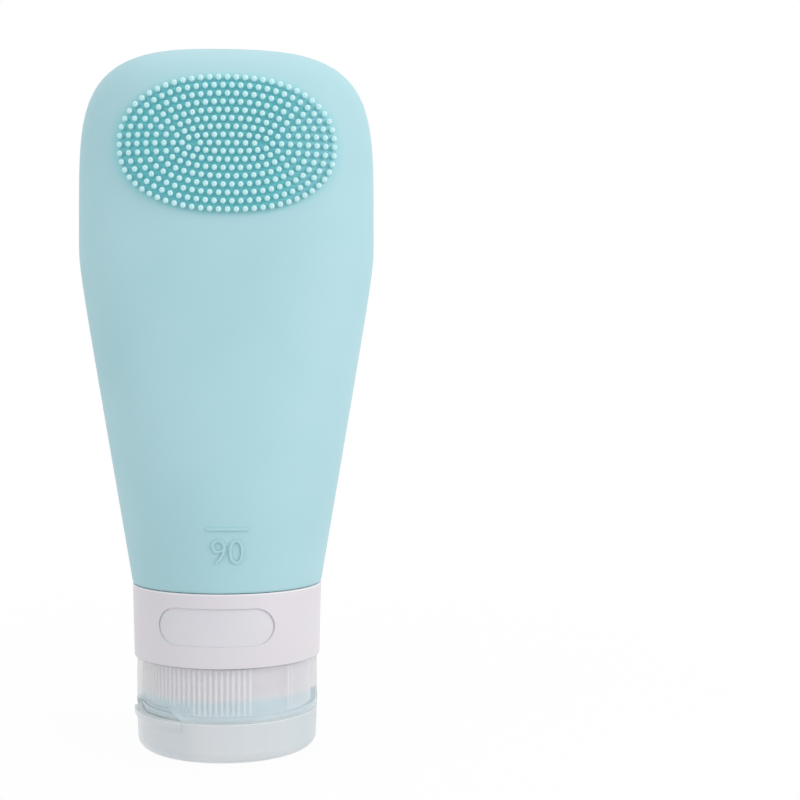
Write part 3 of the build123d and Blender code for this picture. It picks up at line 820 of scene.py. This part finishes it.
@dataclass
class BristleField:
    """Oval brush of short strands, in rings that shrink by one pitch and a line in the middle."""

    name: str
    node: str
    form: SqueezeForm
    side: Side
    half_width: float
    half_height: float
    level: float
    power: float
    rings: int
    pitch: float
    step_across: float
    step_up: float
    strand_width: float
    strand_length: float
    root: float = 0.5
    pad_lift: float = 0.03
    pad_depth: float = 0.95
    margin: float = 0.8
    closest: float = 0.75
    trace_steps: int = 720
    pad_columns: int = 96
    pad_rows: int = 9
    dome: tuple[Corner, ...] = ((0.86, 0.4), (0.6, 0.27), (0.28, 0.13), (0.18, 0.0))
    dome_height: float = 0.8
    dot_share: float = 0.23
    dot_mark: float = 1.15
    rim_share: float = 0.99
    rim_sink: float = 0.05

    def ring(self, half_x: float, half_z: float) -> list[Corner]:
        """Evenly spaced points round a squared oval.

        Args:
            half_x: Half the oval's width.
            half_z: Half the oval's height.

        Returns:
            The points, from the right-hand end round.
        """
        trace = []
        for step in range(self.trace_steps + 1):
            x, z = squared(2 * pi * step / self.trace_steps, self.power)
            trace.append((half_x * x, half_z * z))
        runs = [0.0]
        for here, there in zip(trace, trace[1:]):
            runs.append(runs[-1] + dist(here, there))
        count = 2 * round(runs[-1] / self.pitch / 2)
        points, step = [], 0
        for index in range(count):
            target = runs[-1] * index / count
            while runs[step + 1] <= target:
                step += 1
            along = (target - runs[step]) / (runs[step + 1] - runs[step])
            (x0, z0), (x1, z1) = trace[step], trace[step + 1]
            points.append((x0 + (x1 - x0) * along, z0 + (z1 - z0) * along))
        return points

    def places(self) -> list[Corner]:
        """Places of all strands on the face, from the field's middle."""
        points = []
        for ring in range(self.rings):
            half_x = self.half_width - ring * self.step_across
            half_z = self.half_height - ring * self.step_up
            points += self.ring(half_x, half_z)
        line = self.half_width - self.rings * self.step_across
        gaps = max(round(2 * line / self.pitch), 1)
        for gap in range(gaps + 1):
            spot = (line * (2 * gap / gaps - 1), 0.0)
            if min(dist(spot, kept) for kept in points) > self.closest * self.pitch:
                points.append(spot)
        return points

    def strand(self) -> bpy.types.Object:
        """Model one strand with a domed tip, standing on the origin."""
        radius, length = self.strand_width / 2 * MM, (self.root + self.strand_length) * MM
        trunk = length - radius * self.dome_height
        Bench.clear()
        bpy.ops.mesh.primitive_cylinder_add(
            vertices=8, radius=radius, depth=trunk, end_fill_type="NGON", location=(0, 0, trunk / 2))
        bpy.ops.object.transform_apply(location=True, rotation=False, scale=False)
        piece = Bench.named("strand")
        Bench.unpicked("FACE")
        for polygon in piece.data.polygons:
            polygon.select = polygon.normal.z > 0.9
        bpy.ops.object.mode_set(mode="EDIT")
        width = 1.0
        for share, lift in self.dome:
            bpy.ops.mesh.extrude_region_move(TRANSFORM_OT_translate={"value": (0, 0, radius * lift)})
            scale = share / width
            bpy.ops.transform.resize(value=(scale, scale, 1), center_override=(0, 0, 0))
            width = share
        bpy.ops.object.mode_set(mode="OBJECT")
        # reach runs from root to tip; the centre of each tip gets a mark for the darker centre of the painted
        # tip highlight
        reach = piece.data.attributes.new("reach", "FLOAT", "POINT")
        for vertex, value in zip(piece.data.vertices, reach.data):
            across = hypot(vertex.co.x, vertex.co.y) / radius
            value.value = self.dot_mark if across < self.dot_share else vertex.co.z / length
        return piece

    def pad(self) -> bpy.types.Object:
        """Model the slice of the wall that the strands stand on, a hair above the skin."""
        columns, half_rows = self.pad_columns, self.pad_rows

        def place(row: int, column: int) -> Place:
            """Place of a point of the net: out over the face, round the edge and back."""
            turn = 2 * pi * column / columns
            share = min(row, 2 * half_rows + 1 - row) / half_rows
            reach_x = self.half_width + self.margin
            reach_z = self.half_height + self.margin
            across, up = squared(turn, self.power)
            x, z = share * reach_x * across, share * reach_z * up
            height = self.level + z
            proud = self.pad_lift if share < self.rim_share else -self.rim_sink
            lift = proud if row <= half_rows else -self.pad_depth
            return (x, self.side.value * (self.form.skin(x, height) + lift), height)

        piece = Bench.wrapped(self.name + "_pad", columns, 2 * half_rows + 1, place)
        return Bench.tidied(piece, 1e-7)

    def build(self, material: bpy.types.Material) -> bpy.types.Object:
        """Model and dress the field.

        Args:
            material: Finish of the strands.

        Returns:
            The finished piece.
        """
        upright = Matrix.Rotation(radians(-90) * self.side.value, 4, "X")
        turns = []
        for x, z in self.places():
            height = self.level + z
            y = self.side.value * (self.form.skin(x, height) - self.root)
            turns.append(Matrix.Translation(Vector((x, y, height)) * MM) @ upright)
        LOG.info("%s has %d strands", self.name, len(turns))
        pad = self.pad()
        piece = Bench.repeated(self.name, self.strand(), turns)
        Bench.joined(piece, pad)
        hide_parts(self.node)
        return Bench.dressed(piece, material, Slot.BRUSH, Body.BOTTLE, 60)


@dataclass
class CapacityMark:
    """Plain raised figures low on the front, with a level line over them."""

    form: SqueezeForm
    figures: str = "90"
    size: float = 6.2
    level: float = 35.6
    lift: float = 0.3
    root: float = 0.3
    thinned: float = 0.06
    half_block: float = 0.5
    line_rise: float = 6.0
    line_width: float = 7.5
    line_height: float = 0.45

    def build(self, material: bpy.types.Material) -> bpy.types.Object:
        """Model and dress the figures.

        Args:
            material: Finish of the silicone.

        Returns:
            The finished piece.
        """
        Bench.clear()
        bpy.ops.object.text_add(location=(0, 0, 0))
        text = bpy.context.object
        text.data.body = self.figures
        text.data.size = self.size * MM
        text.data.align_x = "CENTER"
        text.data.extrude = self.half_block * MM
        text.data.offset = -self.thinned * MM
        bpy.ops.object.convert(target="MESH")
        piece = Bench.tidied(Bench.named("capacity_mark"), 1e-7)
        Bench.clear()
        block = Vector((self.line_width, self.line_height, 2 * self.half_block)) * MM
        bpy.ops.mesh.primitive_cube_add(size=1, location=(0, self.line_rise * MM, 0), scale=block)
        bpy.ops.object.transform_apply(location=True, rotation=False, scale=True)
        line = bpy.context.object
        bpy.ops.object.mode_set(mode="EDIT")
        bpy.ops.mesh.select_all(action="SELECT")
        bpy.ops.mesh.subdivide(number_cuts=5)
        bpy.ops.object.mode_set(mode="OBJECT")
        Bench.joined(piece, line)
        for vertex in piece.data.vertices:
            x, z = vertex.co.x / MM, vertex.co.y / MM + self.level
            share = vertex.co.z / MM + self.half_block
            lift = self.lift * share - self.root * (1 - share)
            vertex.co = Vector((x, -self.form.skin(x, z) - lift, z)) * MM
        piece = Bench.tidied(piece, 1e-7)
        return Bench.dressed(piece, material, Slot.BODY, Body.BOTTLE, 30)


@dataclass
class Thread:
    """Ridge that winds up round the axis and runs out at both ends."""

    name: str
    body: Body
    slot: Slot
    root_radius: float
    crest_radius: float
    start_level: float
    start_azimuth: float
    turns: float = 1.35
    pitch: float = 4.0
    root_height: float = 1.3
    crest_height: float = 0.6
    run_out: float = 0.06
    root_depth: float = 0.15
    end_share: float = 0.05
    steps: int = 150

    def build(self, material: bpy.types.Material) -> bpy.types.Object:
        """Model and dress the thread.

        Args:
            material: Finish of the part that it is moulded on.

        Returns:
            The finished piece.
        """
        sunk = self.root_radius - copysign(self.root_depth, self.crest_radius - self.root_radius)
        section = [
            (sunk, -self.root_height / 2), (self.root_radius, -self.root_height / 2),
            (self.crest_radius, -self.crest_height / 2), (self.crest_radius, self.crest_height / 2),
            (self.root_radius, self.root_height / 2), (sunk, self.root_height / 2)]

        def place(row: int, column: int) -> Place:
            """Place of a point of the net, along the thread and round its section."""
            share = row / self.steps
            fade = min(share, 1 - share) / self.run_out
            fullness = eased(fade)
            radius, height = section[column % len(section)]
            radius = sunk + (radius - sunk) * (self.end_share + (1 - self.end_share) * fullness)
            if row in (0, self.steps):
                radius, height = sunk, 0.0
            turn = radians(self.start_azimuth) + 2 * pi * self.turns * share
            level = self.start_level + self.pitch * self.turns * share + height
            return (radius * cos(turn), radius * sin(turn), level)

        piece = Bench.wrapped(self.name, len(section), self.steps, place)
        return Bench.dressed(Bench.tidied(piece), material, self.slot, self.body, 30)


@dataclass
class GripRibs:
    """Upright ribs round the cap's inner skirt, with a plain stretch at two opposite places."""

    root_radius: float = 15.2
    crest_radius: float = 15.66
    width: float = 0.46
    rounding: float = 0.17
    low: float = 8.3
    high: float = 16.6
    places: int = 96
    plain_azimuths: tuple[float, float] = (120.0, 300.0)
    plain_half_angle: float = 13.5
    notch_azimuth: float = 210.0
    notch_half_angle: float = 34.0
    notch_share: float = 0.8

    def rib(self) -> bpy.types.Object:
        """Model one rib with a rounded crest, at azimuth 0."""
        middle = (self.root_radius + self.crest_radius) / 2
        size = (self.crest_radius - self.root_radius, self.width, self.high - self.low)
        Bench.clear()
        bpy.ops.mesh.primitive_cube_add(
            size=1, location=(middle * MM, 0, (self.low + self.high) / 2 * MM), scale=Vector(size) * MM)
        bpy.ops.object.transform_apply(location=True, rotation=False, scale=True)
        piece = Bench.named("rib")
        Bench.unpicked("EDGE")
        for edge in piece.data.edges:
            ends = [piece.data.vertices[index].co for index in edge.vertices]
            edge.select = all(end.x > middle * MM for end in ends)
        bpy.ops.object.mode_set(mode="EDIT")
        bpy.ops.mesh.bevel(offset=self.rounding * MM, segments=2, affect="EDGES")
        bpy.ops.mesh.select_mode(type="VERT")
        bpy.ops.object.mode_set(mode="OBJECT")
        return piece

    def build(self, material: bpy.types.Material) -> bpy.types.Object:
        """Model and dress all ribs.

        Args:
            material: Finish of the ribs.

        Returns:
            The finished piece.
        """
        turns = []
        top = Vector((0, 0, self.high * MM))
        squash = Matrix.Diagonal((1, 1, self.notch_share, 1))
        shorter = Matrix.Translation(top) @ squash @ Matrix.Translation(-top)
        for index in range(self.places):
            azimuth = 360 * index / self.places
            over_notch = abs(azimuth - self.notch_azimuth) < self.notch_half_angle
            drawn_up = shorter if over_notch else Matrix.Identity(4)
            away = [abs((azimuth - plain + 180) % 360 - 180) for plain in self.plain_azimuths]
            if min(away) > self.plain_half_angle:
                turns.append(Matrix.Rotation(radians(azimuth), 4, "Z") @ drawn_up)
        piece = Bench.repeated("grip_ribs", self.rib(), turns)
        return Bench.dressed(piece, material, Slot.FROSTED, Body.CAP, 50)


@dataclass
class HingeWeb:
    """Thin bow tie that joins the lid to the cap and folds between them."""

    upper: float = 8.3
    lower: float = 6.25
    azimuth: float = 30.0
    radius: float = 17.4

    def build(self, material: bpy.types.Material) -> bpy.types.Object:
        """Copy the solid's strap and part it finely.

        Args:
            material: Finish of the lid and cap.

        Returns:
            The finished piece.
        """
        Bench.clear()
        piece = frame["nodes"]["hinge_straps"].copy()
        piece.data = piece.data.copy()
        piece.animation_data_clear()
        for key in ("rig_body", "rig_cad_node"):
            del piece[key]
        bpy.context.scene.collection.objects.link(piece)
        piece.parent = None
        piece.matrix_world = Matrix.Identity(4)
        piece.name = "hinge_web"
        piece.data.name = "hinge_web"
        Bench.tidied(piece)
        bpy.ops.object.mode_set(mode="EDIT")
        bpy.ops.mesh.select_all(action="SELECT")
        bpy.ops.mesh.subdivide(number_cuts=2)
        bpy.ops.object.mode_set(mode="OBJECT")
        Bench.dressed(piece, material, Slot.FROSTED, None, 30)
        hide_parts("hinge_straps")
        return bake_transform(piece)


@dataclass
class ValveDisc:
    """Thin domed membrane with a bead round its rim."""

    seat: float = 5.4
    flange: float = 1.0
    thickness: float = 0.5
    rise: float = 1.1
    radius: float = 4.5
    dome_radius: float = 3.2
    steps: int = 10
    rim_round: float = 0.12
    spins: int = 72

    def arc(self, low: float, high: float) -> list[Corner]:
        """Points of a dome from its top on the axis out to its rim."""
        rise = high - low
        ball = (self.dome_radius**2 + rise**2) / (2 * rise)
        whole = acos((ball - rise) / ball)
        turns = [whole * step / self.steps for step in range(self.steps + 1)]
        return [(ball * sin(turn), high - ball * (1 - cos(turn))) for turn in turns]

    def build(self, material: bpy.types.Material) -> bpy.types.Object:
        """Model and dress the valve.

        Args:
            material: Finish of the valve.

        Returns:
            The finished piece.
        """
        top = self.seat + self.flange
        low = top - self.thickness + self.rise
        upper = self.arc(top, low + self.thickness)
        under = self.arc(self.seat, low)[::-1]
        upper[0], under[-1] = (0, upper[0][1]), (0, under[-1][1])
        inner = self.radius - self.rim_round
        rim = [(inner, top), (self.radius, top - self.rim_round), (self.radius, self.seat + self.rim_round),
               (inner, self.seat)]
        piece = Bench.spun("valve_disc", upper + rim + under, self.spins)
        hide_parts("no_drip_valve")
        return Bench.dressed(piece, material, Slot.VALVE, Body.VALVE, 40)


@dataclass(frozen=True)
class Lamp:
    """Square soft lamp: its place and side in metres, its power in watts and the colour of its light."""

    name: str
    place: Place
    size: float
    power: float
    colour: Place = (1.0, 1.0, 1.0)


@dataclass
class Studio:
    """Pale floor, soft light from the right and the camera of the photograph."""

    lens: float = 58.5
    eye: Place = (0.0, -0.2450, 0.0646)
    pan: float = -4.0
    shift: float = 0.102
    tilt: float = 89.9
    glow: float = 0.66
    floor_gap: float = 0.3
    clear_share: float = 0.95
    floor_side: float = 12.0
    clear_from: float = 0.06
    clear_to: float = 0.3
    aim: Place = (0.0, 0.0, 0.065)
    lamps: tuple[Lamp, ...] = (
        Lamp("key_right", (0.5, -0.32, 0.26), 0.45, 1.74, (1.0, 0.975, 0.98)),
        Lamp("fill_left", (-0.5, -0.45, 0.2), 0.6, 0.86, (0.93, 0.985, 1.0)),
        Lamp("top_soft", (0.05, 0.1, 0.7), 0.6, 0.78))

    @staticmethod
    def direct(weaver: Weaver) -> bpy.types.NodeSocket:
        """Mask of the rays that see plain white: the camera's, and those off gloss or through glass."""
        seen = weaver.node("LightPath").outputs
        shown = weaver.maths("MAXIMUM", seen["Is Camera Ray"], seen["Is Glossy Ray"])
        return weaver.maths("MAXIMUM", shown, seen["Is Transmission Ray"])

    def floor(self) -> None:
        """Lay a pale floor that keeps a faint shadow and hides nothing that opens below it."""
        Bench.clear()
        bpy.ops.mesh.primitive_plane_add(size=1, location=(0, 0, -self.floor_gap * MM))
        bpy.ops.transform.resize(value=(self.floor_side, self.floor_side, 1), center_override=(0, 0, 0))
        bpy.ops.object.transform_apply(location=True, rotation=False, scale=True)
        piece = Bench.named("floor")
        material, weaver = Weaver.opened("floor_white")
        grain = weaver.effect(Effect.GRAIN, Grain_Scale=400.0, Tone_Scale=5.0)
        colour = weaver.mixed(grain.outputs["Tone"], linear((247, 247, 248)), linear((249, 249, 249)))
        matte = weaver.node("BsdfPrincipled", None, Base_Color=colour, Roughness=0.9)
        matte.inputs["Specular IOR Level"].default_value = 0.0
        clear = weaver.node("BsdfTransparent")
        place = weaver.node("TexCoord").outputs["Object"]
        away = weaver.node("VectorMath", {"operation": "LENGTH"}, i0=place).outputs["Value"]
        clearer = weaver.faded(away, self.clear_from, self.clear_to, self.clear_share, 1.0)
        seen = weaver.node("LightPath").outputs
        share = weaver.maths("MULTIPLY", self.direct(weaver), clearer)
        unseen = weaver.maths("MAXIMUM", seen["Is Shadow Ray"], seen["Is Diffuse Ray"])
        share = weaver.maths("MAXIMUM", share, unseen)
        blend = weaver.node("MixShader", None, i0=share, i1=matte.outputs[0], i2=clear.outputs[0])
        end = weaver.node("OutputMaterial")
        weaver.tree.links.new(blend.outputs[0], end.inputs[0])
        piece.data.materials.append(material)

    def world(self) -> None:
        """Set a plain white surround that the camera sees as white."""
        world = bpy.data.worlds.new("studio")
        bpy.context.scene.world = world
        world.use_nodes = True
        weaver = Weaver(world.node_tree)
        soft = weaver.node("Background", None, Color=(1, 1, 1, 1), Strength=self.glow)
        white = weaver.node("Background", None, Color=(1, 1, 1, 1), Strength=1.0)
        blend = weaver.node("MixShader", None, i0=self.direct(weaver), i1=soft.outputs[0],
                            i2=white.outputs[0])
        end = weaver.node("OutputWorld")
        weaver.tree.links.new(blend.outputs[0], end.inputs[0])

    def hang(self, lamp: Lamp) -> None:
        """Hang one lamp so that it points at the bottle's middle."""
        light = bpy.data.lights.new(lamp.name, "AREA")
        light.shape = "SQUARE"
        light.size = lamp.size
        light.energy = lamp.power
        light.color = lamp.colour
        hung = bpy.data.objects.new(lamp.name, light)
        hung.location = lamp.place
        hung.rotation_euler = (Vector(self.aim) - Vector(lamp.place)).to_track_quat("-Z", "Y").to_euler()
        bpy.context.scene.collection.objects.link(hung)

    def camera(self) -> None:
        """Stand the camera where the photograph was taken from."""
        lens = bpy.data.cameras.new("camera")
        lens.lens = self.lens
        lens.sensor_width = 36
        lens.shift_x = self.shift
        lens.clip_start = 0.01
        camera = bpy.data.objects.new("camera", lens)
        camera.location = self.eye
        camera.rotation_euler = (radians(self.tilt), 0, radians(self.pan))
        bpy.context.scene.collection.objects.link(camera)
        bpy.context.scene.camera = camera

    def build(self) -> None:
        """Set up the floor, the light and the camera."""
        self.floor()
        self.world()
        for lamp in self.lamps:
            self.hang(lamp)
        self.camera()
        bpy.context.scene.view_settings.view_transform = "Standard"


def repaint(node: str, material: bpy.types.Material) -> None:
    """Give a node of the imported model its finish."""
    frame["nodes"][node].data.materials.clear()
    frame["nodes"][node].data.materials.append(material)


def main() -> None:
    """Build every piece in order, then the studio round it."""
    logging.basicConfig(level=logging.INFO, format="%(name)s: %(message)s")
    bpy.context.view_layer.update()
    SharedEffects().build()
    skin = SiliconeFinish("aqua_silicone").build()
    strands = SiliconeFinish("bristle_silicone", strands=True).build()
    white = WhiteFinish("collar_white").build()
    pane = WhiteFinish("pane_sheet", colour=(224, 222, 228), roughness=0.36, rim_level=60.0,
                       edge_round=0.06, grain=0.05).build()
    # painted highlight band at 11.5 mm on the neck ring and the retainer
    ring_white = WhiteFinish("neck_white", rim_level=11.5).build()
    # painted highlight bands along the seam: the cap's at 7.275 mm, the lid's at 7.15 mm
    cap_frost = FrostedFinish("cap_frosted", tint=0.8).build()
    lid_frost = FrostedFinish("lid_frosted", front=0.9, behind=0.5, passing=0.25,
                              edge_level=7.15, edge_reach=0.12).build()
    # the ribs' near-white colour is partly their frosted colour, partly painted highlight; their band at 16.6
    # mm is a painted highlight on their top ends
    rib_frost = FrostedFinish("rib_frosted", colour=(252, 253, 254), cloud=(246, 249, 251), front=0.9,
                              behind=0.3, edge_level=16.6, edge_reach=0.35).build()
    valve = ValveFinish("valve_clear").build()

    form = SqueezeForm()
    SqueezeSkin(form).build(skin)
    BristleField("face_bristles", "face_brush_pad", form, Side.FRONT, half_width=19.1, half_height=11.65,
                 level=109.4, power=2.3, rings=8, pitch=1.57, step_across=1.595, step_up=1.456,
                 strand_width=1.02, strand_length=1.5).build(strands)
    BristleField("scrub_nubs", "scrub_brush_pad", form, Side.BACK, half_width=15.9, half_height=6.8,
                 level=112.5, power=2.0, rings=4, pitch=1.67, step_across=1.67, step_up=1.7,
                 strand_width=1.14, strand_length=0.9).build(strands)
    CapacityMark(form).build(skin)
    Thread("neck_thread", Body.BOTTLE, Slot.WHITE, root_radius=13.7, crest_radius=14.4,
           start_level=11.9, start_azimuth=20.0, turns=1.0).build(ring_white)
    Thread("cap_thread", Body.CAP, Slot.FROSTED, root_radius=14.55, crest_radius=14.28,
           start_level=9.9, start_azimuth=20.0, turns=1.2).build(cap_frost)
    GripRibs().build(rib_frost)
    HingeWeb().build(lid_frost)
    ValveDisc().build(valve)
    repaint("neck_ring", ring_white)
    repaint("window_sleeve", white)
    repaint("window_pane", pane)
    repaint("cap_body", cap_frost)
    repaint("flip_lid", lid_frost)
    repaint("valve_retainer", ring_white)
    Studio().build()


if __name__ == "__main__":
    main()
